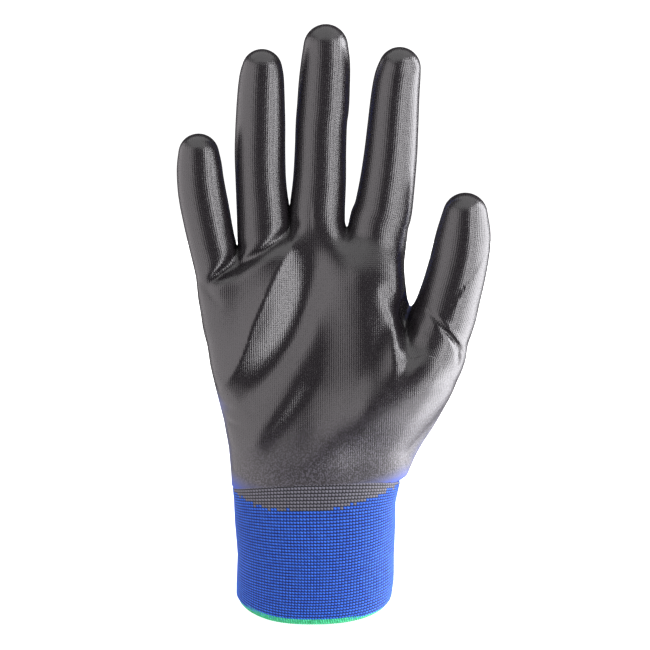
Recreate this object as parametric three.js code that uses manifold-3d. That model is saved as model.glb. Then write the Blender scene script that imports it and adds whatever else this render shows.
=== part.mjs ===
// Cut resistant work glove for a right hand: a seamless knitted liner with an elastic cuff, an
// overlocked hem, and a polyurethane film dipped over the palm side and the fingertips.
// It has the shape it takes on a hand. Millimetres, +Z from the cuff to the fingertips, palm toward
// -Y, thumb toward +X. The origin is the centre of the cuff's opening, in the plane of the hem.
// Every knuckle is a hinge near the palm side of its tube, with a notch that closes as it bends.

import * as THREE from "three";
import { mergeVertices } from "three/addons/utils/BufferGeometryUtils.js";
import Module from "manifold-3d";

const wasm = await Module();
wasm.setup();

// ---- driving dimensions -------------------------------------------------------------------

const KNIT = 1.2; // wall of the knitted liner
const COAT = 0.6; // polyurethane film
const GAP = 0.3; // air between two pieces that touch on the real glove
const LINER_INSET = COAT + GAP; // from the coated surface in to the liner's outside
const CAVITY_INSET = LINER_INSET + KNIT; // from the coated surface in to the hand's space

const DIGIT_SIDES = 12;
const PALM_SIDES = 24;
const PALM_POWER = 2.5; // superellipse: 2 is an ellipse, more is flatter front and back
const DIGIT_DEPTH = 0.93; // a digit's depth as a share of its width

const HEM_HEIGHT = 3.6;
const HEM_PROUD = 0.8; // how far the overlock thread stands out from the knit
const CUFF_FOOT = 1.2; // where the knit starts, inside the hem's fold
const DIP_FRONT = 48; // height of the dip line at the front of the wrist
const DIP_SIDE = 57; // and at its sides
const COAT_BACK = 2.4; // how far behind the middle the film wraps round the sides

const WRIST = { at: [0, 0, 58], bend: 45, arch: 45 }; // degrees each way
const KNUCKLE_SHARE = 0.45; // how far a knuckle's hinge lies from the middle to the palm side
const KNUCKLE_SLIT = 1.0; // slit between two segments at the hinge itself

const YARN = 0.8; // diameter of the cuff's elastic yarn
const YARN_TURNS = 6;
const YARN_LOW = 8;
const YARN_HIGH = 46;

// Palm and cuff: height, left edge, right edge and half depth of the coated surface.
const PALM = [
  [0, -35.4, 35.4, 24.6],
  [26, -35.6, 35.6, 24.2],
  [48, -36.2, 36.2, 22.6],
  [58, -37.0, 38.0, 20.6],
  [72, -38.2, 39.0, 18.6],
  [90, -41.8, 39.8, 17.0],
  [108, -45.9, 40.2, 16.2],
  [126, -48.7, 40.0, 15.4],
  [140, -50.3, 38.6, 14.2],
  [150, -51.6, 37.6, 12.4],
  [157, -50.0, 36.6, 8.0],
];

// The swell between the thumb and the palm: centre and half sizes.
const THENAR = [[40.0, -3.2, 101.0], [12.0, 11.5, 23.5]];

// Webs between neighbouring fingers: centre and half sizes.
const WEBS = [
  [[-33.0, -0.2, 147.5], [6.5, 8.4, 8.2]],
  [[-11.1, -0.4, 157.5], [6.5, 8.6, 8.4]],
  [[13.6, -0.4, 158.2], [6.5, 8.6, 8.6]],
];

// Digits: section centres from inside the palm to the tip, with the coated width at each. hinges
// gives each knuckle's section, its range in degrees (straighter, more bent) and the next segment.
const DIGITS = {
  index: {
    sections: [
      [[24.6, 0, 138], 22],
      [[26.4, -0.2, 160], 24.5],
      [[28.4, -0.8, 173], 24.4],
      [[31.2, -2.6, 194], 22.2],
      [[33.4, -6.8, 216.5], 19.9],
      [[35.4, -13.0, 241], 15],
    ],
    hinges: [
      { section: 2, range: [-8, 70], segment: "proximal" },
      { section: 3, range: [-5, 80], segment: "middle" },
      { section: 4, range: [-3.125, 50], segment: "distal" },
    ],
  },
  middle: {
    sections: [
      [[0.8, 0, 138], 21],
      [[0.9, -0.2, 160], 22.6],
      [[1.1, -0.8, 174], 22.6],
      [[2.3, -2.8, 196], 21.2],
      [[3.7, -7.2, 221.5], 20.7],
      [[4.6, -14.4, 250], 16],
    ],
    hinges: [
      { section: 2, range: [-8, 70], segment: "proximal" },
      { section: 3, range: [-5, 80], segment: "middle" },
      { section: 4, range: [-3.125, 50], segment: "distal" },
    ],
  },
  ring: {
    sections: [
      [[-20.6, 0, 136], 20],
      [[-21.6, -0.2, 158], 21.6],
      [[-21.9, -0.8, 172.5], 21.4],
      [[-23.0, -2.6, 192.5], 20.6],
      [[-22.4, -6.8, 215], 19.6],
      [[-21.7, -13.0, 240.5], 15],
    ],
    hinges: [
      { section: 2, range: [-8, 70], segment: "proximal" },
      { section: 3, range: [-5, 80], segment: "middle" },
      { section: 4, range: [-3.125, 50], segment: "distal" },
    ],
  },
  little: {
    sections: [
      [[-38.0, 0, 128], 20],
      [[-42.0, -0.2, 149], 20.4],
      [[-44.4, -0.7, 161.5], 19.9],
      [[-47.2, -2.1, 177], 20.1],
      [[-48.6, -4.9, 191.5], 18.4],
      [[-49.0, -8.6, 206], 14],
    ],
    hinges: [
      { section: 2, range: [-8, 70], segment: "proximal" },
      { section: 3, range: [-5, 80], segment: "middle" },
      { section: 4, range: [-3.125, 50], segment: "distal" },
    ],
  },
  thumb: {
    sections: [
      [[19.0, -2.0, 64], 33],
      [[29.0, -3.0, 76], 33],
      [[39.5, -4.5, 92], 30],
      [[48.6, -5.2, 108], 27],
      [[53.4, -5.0, 120], 25.6],
      [[56.2, -5.0, 131], 25.0],
      [[61.4, -6.4, 155], 23.4],
      [[63.8, -9.4, 181], 18],
    ],
    hinges: [
      { section: 5, range: [-8, 26], segment: "proximal" },
      { section: 6, range: [-5, 60], segment: "distal" },
    ],
    toward: [-0.5, -0.87, 0], // the thumb bends across the palm as well as forward
  },
};

// ---- shapes -------------------------------------------------------------------------------

const vec = (p) => new THREE.Vector3(...p);

// A three.js geometry as a manifold-3d solid.
function solid(geometry) {
  const bare = new THREE.BufferGeometry();
  bare.setAttribute("position", geometry.getAttribute("position").clone());
  if (geometry.index) bare.setIndex(geometry.index.clone());
  const merged = mergeVertices(bare, 1e-4);
  return new wasm.Manifold(
    new wasm.Mesh({
      numProp: 3,
      vertProperties: new Float32Array(merged.getAttribute("position").array),
      triVerts: new Uint32Array(merged.index.array),
    }),
  );
}

// A closed geometry through rings that have the same number of points, with flat ends.
function loft(rings) {
  const sides = rings[0].length;
  const points = rings.flat();
  const faces = [];
  for (let r = 0; r + 1 < rings.length; r++) {
    for (let s = 0; s < sides; s++) {
      const a = r * sides + s;
      const b = r * sides + ((s + 1) % sides);
      faces.push(a, b, b + sides, a, b + sides, a + sides);
    }
  }
  const top = (rings.length - 1) * sides;
  for (let s = 1; s + 1 < sides; s++) {
    faces.push(0, s + 1, s);
    faces.push(top, top + s, top + s + 1);
  }
  const geometry = new THREE.BufferGeometry().setFromPoints(points);
  geometry.setIndex(faces);
  return geometry;
}

// One ring: a superellipse about a centre, across and deep along two unit vectors.
function ring(centre, across, deep, halfWidth, halfDepth, sides, power) {
  const points = [];
  for (let s = 0; s < sides; s++) {
    const angle = (2 * Math.PI * (s + 0.5)) / sides;
    const c = Math.cos(angle);
    const d = Math.sin(angle);
    const x = Math.sign(c) * Math.abs(c) ** (2 / power) * halfWidth;
    const y = Math.sign(d) * Math.abs(d) ** (2 / power) * halfDepth;
    points.push(centre.clone().addScaledVector(across, x).addScaledVector(deep, y));
  }
  return points;
}

const X = new THREE.Vector3(1, 0, 0);
const Y = new THREE.Vector3(0, 1, 0);

// The palm and cuff between two heights, inset from the coated surface.
function palmBody(inset, low = PALM[0][0], high = PALM.at(-1)[0]) {
  const heights = [low, ...PALM.map((p) => p[0]).filter((z) => z > low && z < high), high];
  const rings = heights.map((z) => {
    const i = Math.min(PALM.findIndex((p) => p[0] >= z - 1e-9), PALM.length - 1);
    const [above, below] = [PALM[i], PALM[Math.max(i - 1, 0)]];
    const t = above === below ? 0 : (z - below[0]) / (above[0] - below[0]);
    const [, left, right, deep] = below.map((v, k) => v + (above[k] - v) * t);
    const closing = z === PALM.at(-1)[0] ? inset : 0; // the top comes down with the inset
    const centre = new THREE.Vector3((left + right) / 2, 0, z - closing);
    return ring(centre, X, Y, (right - left) / 2 - inset, deep - inset, PALM_SIDES, PALM_POWER);
  });
  return solid(loft(rings));
}

// A digit's centre line, and its width there.
function digitLine(digit) {
  const curve = new THREE.CatmullRomCurve3(digit.sections.map(([p]) => vec(p)));
  const last = digit.sections.length - 1;
  return (t) => {
    const i = Math.min(Math.floor(t * last), last - 1);
    const f = t * last - i;
    const tangent = curve.getTangent(t).normalize();
    const across = new THREE.Vector3().crossVectors(Y, tangent).normalize();
    return {
      centre: curve.getPoint(t),
      tangent,
      across,
      deep: new THREE.Vector3().crossVectors(tangent, across),
      width: THREE.MathUtils.lerp(digit.sections[i][1], digit.sections[i + 1][1], f),
    };
  };
}

// A digit as a solid, inset from the coated surface, closed by a round tip.
function digitBody(digit, inset) {
  const at = digitLine(digit);
  const last = digit.sections.length - 1;
  const stations = [];
  for (let i = 0; i < last - 1; i++) stations.push(i / last, (i + 0.5) / last);
  stations.push((last - 1) / last);
  const rings = stations.map((t) => {
    const s = at(t);
    const half = s.width / 2;
    return ring(s.centre, s.across, s.deep, half - inset, half * DIGIT_DEPTH - inset, DIGIT_SIDES, 2);
  });
  // The tip: straight for a while, then a quarter round to a small flat end.
  const start = at((last - 1) / last);
  const end = at(1);
  const length = start.centre.distanceTo(end.centre) - inset;
  const wide = start.width / 2 - inset;
  const capLength = Math.min(length * 0.6, wide * 1.25);
  for (const turn of [0, 25, 45, 62, 76]) {
    const a = THREE.MathUtils.degToRad(turn);
    const along = (length - capLength + capLength * Math.sin(a)) / start.centre.distanceTo(end.centre);
    const s = at((last - 1 + along) / last);
    const narrowing = 1 - 0.06 * along;
    const half = wide * narrowing * Math.cos(a);
    rings.push(ring(s.centre, s.across, s.deep, half, half * DIGIT_DEPTH, DIGIT_SIDES, 2));
  }
  return solid(loft(rings));
}

function swell([centre, half], inset) {
  const ball = new THREE.SphereGeometry(1, 12, 8);
  ball.rotateX(Math.PI / 2); // the ball's poles lie along Z
  ball.scale(...half.map((h) => h - inset));
  ball.translate(...centre);
  return solid(ball);
}

// The whole hand shape, inset from the coated surface.
function hand(inset, withWebs) {
  const digits = Object.values(DIGITS).map((d) => digitBody(d, inset));
  const webs = withWebs ? WEBS.map((web) => swell(web, inset)) : [];
  return wasm.Manifold.union([palmBody(inset), swell(THENAR, inset), ...digits, ...webs]);
}

// A box between two corners.
function block(low, high) {
  const size = vec(high).sub(vec(low));
  const box = new THREE.BoxGeometry(size.x, size.y, size.z);
  box.translate(...vec(low).addScaledVector(size, 0.5).toArray());
  return solid(box);
}

// ---- knuckles -----------------------------------------------------------------------------

// Where a hinge is, and the directions it works in: along the digit, toward the palm, its axis.
function hingeFrame(digit, section) {
  const s = digitLine(digit)(section / (digit.sections.length - 1));
  const toward = digit.toward ? vec(digit.toward) : s.deep.clone().negate();
  toward.addScaledVector(s.tangent, -toward.dot(s.tangent)).normalize();
  const axis = new THREE.Vector3().crossVectors(s.tangent, toward).normalize();
  const reach = (s.width / 2) * DIGIT_DEPTH * KNUCKLE_SHARE;
  return { at: s.centre.clone().addScaledVector(toward, reach), along: s.tangent, toward, axis, half: s.width / 2 };
}

// The notch that a hinge needs: a slit at the axis, widening to each side by that side's range.
// slack keeps a piece that fills the notch clear of its walls.
function notch(frame, bend, arch, halfLength, reach, slack = 0) {
  const half = KNUCKLE_SLIT / 2 - slack;
  const front = half + reach * Math.tan(THREE.MathUtils.degToRad(bend) / 2);
  const back = half + reach * Math.tan(THREE.MathUtils.degToRad(arch) / 2);
  const shape = new THREE.Shape();
  shape.moveTo(-reach, -back);
  shape.lineTo(0, -half);
  shape.lineTo(reach, -front);
  shape.lineTo(reach, front);
  shape.lineTo(0, half);
  shape.lineTo(-reach, back);
  const prism = new THREE.ExtrudeGeometry(shape, { depth: 2 * halfLength, bevelEnabled: false });
  prism.translate(0, 0, -halfLength);
  // The shape's X is toward the palm, its Y along the digit, and the prism runs along the axis.
  const side = new THREE.Vector3().crossVectors(frame.toward, frame.along);
  const place = new THREE.Matrix4().makeBasis(frame.toward, frame.along, side);
  place.setPosition(frame.at);
  prism.applyMatrix4(place);
  return solid(prism);
}

function digitNotches(digit, slack = 0) {
  return digit.hinges.map(({ section, range }) => {
    const frame = hingeFrame(digit, section);
    return notch(frame, range[1], -range[0], frame.half + 0.35, 2.4 * frame.half, slack);
  });
}

const height = (body) => (body.boundingBox().min[2] + body.boundingBox().max[2]) / 2;
const largest = (body) => body.decompose().sort((a, b) => b.volume() - a.volume())[0];

// A digit's shell cut at its knuckles, from the palm outward, without the stump below the first.
function segments(shell, digit) {
  const cut = digitNotches(digit).reduce((s, n) => s.subtract(n), shell);
  const pieces = cut.decompose().filter((p) => p.volume() > 5);
  return pieces.sort((a, b) => height(a) - height(b)).slice(-digit.hinges.length);
}

// ---- the film's outline -------------------------------------------------------------------

// The part of a digit that the dip reached: the palm side and sides, and all of the tip.
function dippedDigit(digit) {
  const at = digitLine(digit);
  const rings = [];
  const wide = 30;
  for (let i = 0; i <= 10; i++) {
    const s = at(i / 10);
    const corner = (x, y) => s.centre.clone().addScaledVector(s.across, x).addScaledVector(s.deep, y);
    rings.push([corner(-wide, -wide), corner(wide, -wide), corner(wide, COAT_BACK), corner(-wide, COAT_BACK)]);
  }
  const tip = at(1).centre.clone().addScaledVector(at(1).tangent, 10);
  const cap = 19; // height of the box over the tip
  const box = block([tip.x - wide, tip.y - wide, tip.z - cap], [tip.x + wide, tip.y + wide, tip.z]);
  return solid(loft(rings)).add(box);
}

// The part of the palm that the dip reached, above a dip line that sags at the front.
function dippedPalm() {
  const line = new THREE.Shape();
  const side = 70;
  line.moveTo(-side, DIP_SIDE + 3);
  line.lineTo(-36, DIP_SIDE);
  line.quadraticCurveTo(0, 2 * DIP_FRONT - DIP_SIDE, 36, DIP_SIDE);
  line.lineTo(side + 20, DIP_SIDE + 3);
  line.lineTo(side + 20, 190);
  line.lineTo(-side, 190);
  const prism = new THREE.ExtrudeGeometry(line, { depth: 40 + COAT_BACK, bevelEnabled: false, curveSegments: 8 });
  prism.rotateX(Math.PI / 2); // the shape's Y becomes +Z, and the depth runs toward -Y
  prism.translate(0, COAT_BACK, 0);
  return solid(prism);
}

// ---- materials ----------------------------------------------------------------------------

const finish = (color, roughness) => new THREE.MeshStandardMaterial({ color, roughness, metalness: 0 });
const KNIT_BLUE = finish(0x2450b8, 0.85);
const FILM_BLACK = finish(0x2c2a2d, 0.42);
const HEM_GREEN = finish(0x22b573, 0.8);
const YARN_GREY = finish(0x3a3a40, 0.6);

const glove = new THREE.Group();

function addMesh(name, body, material) {
  const mesh = body.simplify(0.06).getMesh();
  const count = mesh.numVert;
  const positions = new Float32Array(count * 3);
  for (let i = 0; i < count; i++) {
    for (let k = 0; k < 3; k++) positions[3 * i + k] = mesh.vertProperties[i * mesh.numProp + k];
  }
  const geometry = new THREE.BufferGeometry();
  geometry.setAttribute("position", new THREE.BufferAttribute(positions, 3));
  geometry.setIndex(new THREE.BufferAttribute(new Uint32Array(mesh.triVerts), 1));
  geometry.computeVertexNormals();
  const made = new THREE.Mesh(geometry, material);
  made.name = name;
  glove.add(made);
}

// ---- liner, wrist and cuff ----------------------------------------------------------------

const linerShell = hand(LINER_INSET, true).subtract(hand(CAVITY_INSET, false));
const filmShell = hand(0, true).subtract(hand(COAT, true));
const baseNotches = Object.values(DIGITS).map((d) => digitNotches(d)[0]);
const wristFrame = { at: vec(WRIST.at), along: new THREE.Vector3(0, 0, 1), toward: Y.clone().negate() };
const wristNotch = notch(wristFrame, WRIST.bend, WRIST.arch, 60, 40);
const palmUp = block([-90, -60, WRIST.at[2] - 40], [90, 60, 260]);
const cuffDown = block([-90, -60, CUFF_FOOT], [90, 60, WRIST.at[2]]);

const palmLiner = baseNotches.reduce((s, n) => s.subtract(n), linerShell.intersect(palmUp).subtract(wristNotch));
const aboveWrist = palmLiner.decompose().filter((p) => height(p) > WRIST.at[2]);
addMesh("palm_liner", aboveWrist.sort((a, b) => b.volume() - a.volume())[0], KNIT_BLUE);

const cuffTube = palmBody(LINER_INSET, 0, 80).subtract(palmBody(CAVITY_INSET, 0, 80));
addMesh("cuff_knit", largest(cuffTube.intersect(cuffDown).subtract(wristNotch)), KNIT_BLUE);

// The wrist's knit folds and stretches inside the notch.
const wristFill = notch(wristFrame, WRIST.bend, WRIST.arch, 60, 40, GAP);
addMesh("wrist_knit", largest(cuffTube.intersect(wristFill)), KNIT_BLUE);

// ---- hem and elastic ----------------------------------------------------------------------

// The overlock thread folds over the cuff's edge, outside, under and inside.
const hemBlock = palmBody(LINER_INSET - HEM_PROUD, 0, HEM_HEIGHT).subtract(
  palmBody(CAVITY_INSET + HEM_PROUD, -1, HEM_HEIGHT + 1),
);
const edgeRoom = palmBody(LINER_INSET - GAP, CUFF_FOOT - GAP, HEM_HEIGHT + 1).subtract(
  palmBody(CAVITY_INSET + GAP, 0, HEM_HEIGHT + 2),
);
addMesh("cuff_hem", hemBlock.subtract(edgeRoom), HEM_GREEN);

// One elastic yarn runs round inside the cuff's courses from the hem to the wrist.
class YarnPath extends THREE.Curve {
  getPoint(t, target = new THREE.Vector3()) {
    const angle = 2 * Math.PI * YARN_TURNS * t;
    const z = YARN_LOW + (YARN_HIGH - YARN_LOW) * t;
    const inset = CAVITY_INSET + GAP + YARN / 2 + 0.6;
    const c = Math.cos(angle);
    const s = Math.sin(angle);
    const x = Math.sign(c) * Math.abs(c) ** (2 / PALM_POWER) * (35.4 - inset);
    const y = Math.sign(s) * Math.abs(s) ** (2 / PALM_POWER) * (22.7 - inset);
    return target.set(x, y, z);
  }
}
const yarnSection = new THREE.Shape(new THREE.EllipseCurve(0, 0, YARN / 2, YARN / 2).getPoints(5).slice(0, 5));
const yarn = new THREE.ExtrudeGeometry(yarnSection, { steps: 24 * YARN_TURNS, extrudePath: new YarnPath() });
addMesh("cuff_elastic_yarn", solid(yarn), YARN_GREY);

// ---- film over the palm and wrist ---------------------------------------------------------

const palmDip = dippedPalm();
const filmPalm = filmShell.intersect(palmDip);
const palmFilm = baseNotches.reduce((s, n) => s.subtract(n), filmPalm.intersect(palmUp).subtract(wristNotch));
const filmAbove = palmFilm.decompose().filter((p) => height(p) > WRIST.at[2] + 6);
addMesh("palm_coating", filmAbove.sort((a, b) => b.volume() - a.volume())[0], FILM_BLACK);
const belowWrist = block([-90, -60, 0], [90, 60, WRIST.at[2]]);
addMesh("wrist_coating", largest(filmPalm.intersect(wristFill.add(belowWrist))), FILM_BLACK);

// ---- digits -------------------------------------------------------------------------------

// Each segment is a liner tube with film over its palm side. A sleeve of knit and film together
// spans each knuckle: it stretches behind and folds in front.
for (const [name, digit] of Object.entries(DIGITS)) {
  const cavity = digitBody(digit, CAVITY_INSET);
  const knit = digitBody(digit, LINER_INSET);
  const dipped = digitBody(digit, 0).intersect(dippedDigit(digit));
  const liner = knit.subtract(cavity);
  const film = dipped.subtract(digitBody(digit, COAT));
  const sleeve = dipped.add(knit).subtract(cavity);
  digitNotches(digit, GAP).forEach((fill, i) => {
    addMesh(`${name}_${digit.hinges[i].segment}_knuckle`, largest(sleeve.intersect(fill)), FILM_BLACK);
  });
  segments(liner, digit).forEach((piece, i) => {
    addMesh(`${name}_${digit.hinges[i].segment}_liner`, piece, KNIT_BLUE);
  });
  segments(film, digit).forEach((piece, i) => {
    addMesh(`${name}_${digit.hinges[i].segment}_coating`, piece, FILM_BLACK);
  });
}

export default glove;
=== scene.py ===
"""The looks of a cut resistant knitted glove with a dipped palm: cuff, liner, film and hem."""

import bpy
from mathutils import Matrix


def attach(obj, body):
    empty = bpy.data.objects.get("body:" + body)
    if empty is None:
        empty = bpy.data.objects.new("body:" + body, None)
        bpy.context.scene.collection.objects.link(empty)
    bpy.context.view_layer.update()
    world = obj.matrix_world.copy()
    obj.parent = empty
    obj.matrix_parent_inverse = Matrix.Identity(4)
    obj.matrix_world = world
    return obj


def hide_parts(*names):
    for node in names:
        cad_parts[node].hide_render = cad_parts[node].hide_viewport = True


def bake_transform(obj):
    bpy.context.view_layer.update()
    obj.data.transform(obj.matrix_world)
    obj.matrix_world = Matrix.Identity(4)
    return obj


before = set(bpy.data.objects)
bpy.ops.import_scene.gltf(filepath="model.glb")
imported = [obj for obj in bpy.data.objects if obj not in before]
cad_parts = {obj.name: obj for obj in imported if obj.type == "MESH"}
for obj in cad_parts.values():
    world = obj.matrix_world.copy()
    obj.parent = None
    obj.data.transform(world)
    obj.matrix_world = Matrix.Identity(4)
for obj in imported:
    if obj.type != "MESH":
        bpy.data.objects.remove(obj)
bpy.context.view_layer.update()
import math

import bpy
import numpy as np
import openvdb

# Shapes are worked out in millimetres, in the CAD frame: +Z to the fingertips, palm toward -Y.
MM = 0.001
VOXEL = 0.8  # grid step of the hand's surface
GRID_LOW, GRID_HIGH = np.array([-62.0, -30.0, 47.0]), np.array([80.0, 25.0, 254.0])
GRID_BAND = 4.0  # distances are kept this far from the surface
FAR = 50.0  # more than any distance that matters
FINGER_WEB, THUMB_WEB = 6.0, 9.0  # how widely the digits blend into the palm
BETWEEN_FINGERS = 1.6  # and into each other
PALM_TOP_ROUND = 9.0  # rounding of the palm's edge between the fingers
DEPTH = 0.93  # a digit's depth as a share of its width
WALE = 0.92  # width of one column of stitches in the fine knit
COURSE = 0.78  # height of one row of stitches in the fine knit
RIB_WALE_COUNT = 138  # columns of stitches round the cuff
RIB_COURSES = 46
RIB_TOP = 56.0  # height of the cuff's last course at the sides
RIB_TILT = 1.1  # how much higher that course is on the thumb's side
RIB_LIFT = 5.4  # how much higher it is at the front
RIB_RELIEF = 0.36  # how far the cuff's stitches stand out
FILM_BACK = 2.4  # how far behind the middle the film wraps round the sides
FILM_THICK = 0.32
TIP_WRAP = 12.0  # how far the film comes down behind a fingertip
NEAR_DIGIT = 3.0  # the skin belongs to a digit where it is this close to the digit's surface
IN_CUFF = 1.6  # how far the hand's skin goes down behind the cuff's last course
# The dip line across the front of the wrist: x and height.
DIP_LINE = np.array([(-38, 56.2), (-36, 54.6), (-28, 51.2), (-21, 49.3), (6, 49.2), (18, 52.0),
                     (30, 55.1), (37, 57.2)])

# Palm and cuff: height, left edge, right edge, half depth, power of the rounded section.
BODY = np.array([
    (0.0, -33.4, 31.2, 24.4, 2.2),
    (5.0, -34.6, 33.6, 24.5, 2.2),
    (12.0, -34.5, 34.4, 24.2, 2.2),
    (24.0, -34.0, 34.3, 23.6, 2.25),
    (38.0, -34.8, 35.0, 22.9, 2.3),
    (48.0, -35.2, 35.0, 22.0, 2.3),
    (54.0, -35.8, 36.2, 21.2, 2.3),
    (60.0, -36.0, 37.6, 20.4, 2.3),
    (72.0, -36.9, 38.4, 19.0, 2.35),
    (84.0, -38.9, 38.7, 17.8, 2.4),
    (96.0, -41.8, 39.0, 16.9, 2.4),
    (108.0, -44.4, 39.0, 16.3, 2.4),
    (120.0, -46.0, 38.8, 15.7, 2.4),
    (132.0, -46.6, 38.4, 15.0, 2.4),
    (144.0, -48.2, 36.8, 13.6, 2.35),
    (156.0, -50.2, 35.6, 11.2, 2.3),
    (168.0, -49.5, 35.2, 9.0, 2.2),
])
# Where the palm ends between the fingers: x and height.
PALM_TOP = np.array([(-60, 136), (-44, 145), (-33.5, 151.5), (-22, 160), (-10.6, 162.6), (2, 164),
                     (13.9, 163.2), (26, 160), (38, 148), (60, 120)], float)

# Digits: x, y, z of the centre line and half the width there, from inside the palm to the tip.
DIGITS = {
    "index": [(24.4, 0, 138, 11.2), (25.8, -0.2, 156, 12), (26.8, -0.4, 168, 12.2),
              (28.6, -0.7, 174, 11.9), (30.3, -1.8, 186, 11.2), (31.5, -3.4, 198, 10.7),
              (32.2, -5.4, 209, 10.2), (32.9, -8, 221, 9.6), (33.6, -9.9, 228, 9.1),
              (34.4, -11.3, 232.2, 8.3)],
    "middle": [(0.8, 0, 138, 11), (0.9, -0.2, 160, 11.5), (1.1, -0.6, 174, 11.3), (2, -1.5, 186, 10.8),
               (2.4, -2.8, 198, 10.4), (2.8, -4.6, 210, 10.3), (3.5, -5.9, 217, 10.4),
               (4, -7.6, 226, 10.2), (4.5, -9.6, 234, 9.7), (4.6, -11.5, 240.8, 8.7)],
    "ring": [(-20.4, 0, 136, 10.2), (-21.3, -0.2, 160, 10.8), (-21.7, -0.8, 174, 10.7),
             (-22.4, -1.9, 186, 10.25), (-22.6, -3.6, 198, 10.2), (-22.2, -5.8, 210, 9.95),
             (-21.8, -8.3, 221, 9.4), (-21.4, -10.1, 228, 8.8), (-21.1, -11.4, 231.8, 7.9)],
    "little": [(-36.7, 0, 128, 9.4), (-41, -0.2, 150, 9.6), (-43.6, -0.7, 162, 9.6),
               (-45.7, -1.9, 174, 9.8), (-46.8, -2.9, 181, 9.7), (-47.4, -4, 187, 9.4),
               (-47.6, -5.2, 192.5, 9), (-47.7, -6.2, 197.6, 8.1)],
    "thumb": [(22.9, -2, 62, 10.6), (26.8, -3, 70, 13.5), (31.4, -3.8, 80, 15), (38.3, -4.5, 92, 15.3),
              (44, -5, 104, 15), (48.1, -5, 114, 13.6), (51.7, -5, 122, 12.7), (54.7, -5.1, 130.5, 12.4),
              (56.7, -5.4, 138.8, 12.2), (59.6, -6.1, 150.5, 11.9), (61.6, -7.2, 162.5, 11.2),
              (62.2, -8.4, 172.6, 9)],
}
# Where each digit leaves the palm piece, and the seams between its own pieces, as heights.
SEAMS = {
    "index": (167.2, 183.0, 204.6),
    "middle": (167.4, 184.6, 208.2),
    "ring": (166.8, 182.2, 203.4),
    "little": (156.2, 168.9, 183.6),
    "thumb": (127.5, 143.2),
}
SEGMENTS = {d: ("proximal", "middle", "distal") for d in DIGITS}
SEGMENTS["thumb"] = ("proximal", "distal")

# The flatter side of a digit: the way it faces, in degrees from the palm's side to the thumb's.
FACETS = {"index": 26, "thumb": 38}
FACET = 0.93  # where the flat side lies, as a share of the digit's radius
FACET_ROUND = 1.5  # rounding of its edges

# Folds of the palm: points (x, z) along the fold, how deep (minus stands out), and how wide, or how
# wide on its left and right. A fourth value is the power of the fold's profile: less is sharper.
FOLDS = [
    ([(-8.5, 168.5), (-14.8, 162.6), (-24.7, 155.5), (-33.2, 150.4), (-42.5, 145.2)], 2.3, 2.4),
    ([(-31.5, 159), (-35.1, 152.6), (-39.3, 148.6), (-43.5, 144.5)], 2.3, 2.2),
    ([(-8, 162), (-13, 154), (-17.5, 146), (-21.5, 137), (-25.5, 128), (-28.8, 118), (-33, 109),
      (-38.5, 101.5)], -3.1, (6.0, 6.5), 1.08),
    ([(-1, 164), (-1.5, 153), (-2.8, 143), (-6, 132), (-10, 122), (-15.5, 113), (-22, 105),
      (-29, 98), (-36, 93)], 4.6, (8.5, 6.5)),
    ([(-5, 107), (-11, 97), (-16, 90), (-22.5, 82), (-28, 73)], -1.05, 4.4),
    ([(0, 106), (-4, 97), (-9, 89), (-15, 81), (-20, 72)], 1.0, 5.0),
    ([(30.5, 141), (34.6, 134), (37.4, 127), (38.8, 121)], 3.4, 3.4),
    ([(46, 124.5), (39.5, 113), (32, 103.5)], 0.9, 2.8),
    ([(52, 129), (44, 117), (36, 106), (25, 95), (12, 83), (2, 70), (-4, 58)], -3.6, (9.0, 19.0)),
    ([(47.4, 133.5), (52.8, 127.5), (57.6, 122), (61.5, 116)], 1.2, 0.9),
    ([(51.0, 127.5), (55.6, 123.4), (59.2, 117.6), (59.6, 111)], 1.0, 0.8),
    ([(50.5, 131.8), (55.5, 126.4), (60, 120)], -0.7, 1.2),
    ([(-42, 95.5), (-38.5, 91.2), (-34.6, 91.1)], 0.9, 1.0),
    ([(-40, 87.6), (-36, 84.8), (-30.5, 83.6)], 0.6, 1.1),
    ([(-48.5, 145), (-44.5, 141), (-40.3, 136)], 0.9, 1.6),
]
# The palm's slope up to the thumb's side: height, and the x where the slope starts and ends.
RISE_SLOPE = np.array([(70, -6, 17), (90, -4, 22), (105, 1, 25), (125, 2, 24), (145, 0, 20)])
RISE = 5.6  # how far the palm stands out above that slope
HEEL_HOLLOW = 3.8  # how far the heel of the hand is pushed in on the thumb's side
# The same on the back: the knuckle line and the hollows between the bones.
BACK_FOLDS = [
    ([(27, 146), (25, 138)], -0.8, 7.0),
    ([(1, 150), (1, 140)], -0.9, 7.0),
    ([(-21, 147), (-19, 137)], -0.8, 7.0),
    ([(-39, 138), (-36, 128)], -0.7, 6.0),
    ([(13.5, 158), (12, 120), (9, 90)], 0.7, 4.5),
    ([(-10, 157), (-9, 120), (-6, 90)], 0.7, 4.5),
    ([(-31, 148), (-27, 118), (-18, 90)], 0.7, 4.5),
    ([(40, 124), (34, 108), (24, 90)], 1.0, 5.0),
]


# ---- distance fields ---------------------------------------------------------------------

def smooth(x, low, high):
    """0 below low, 1 above high, and an S curve between them."""
    t = np.clip((x - low) / (high - low), 0.0, 1.0)
    return t * t * (3.0 - 2.0 * t)


def soft_min(a, b, k):
    """The lesser of two distances, with the corner between them rounded over k."""
    h = np.maximum(k - np.abs(a - b), 0.0) / k
    return np.minimum(a, b) - h * h * k * 0.25


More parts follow.
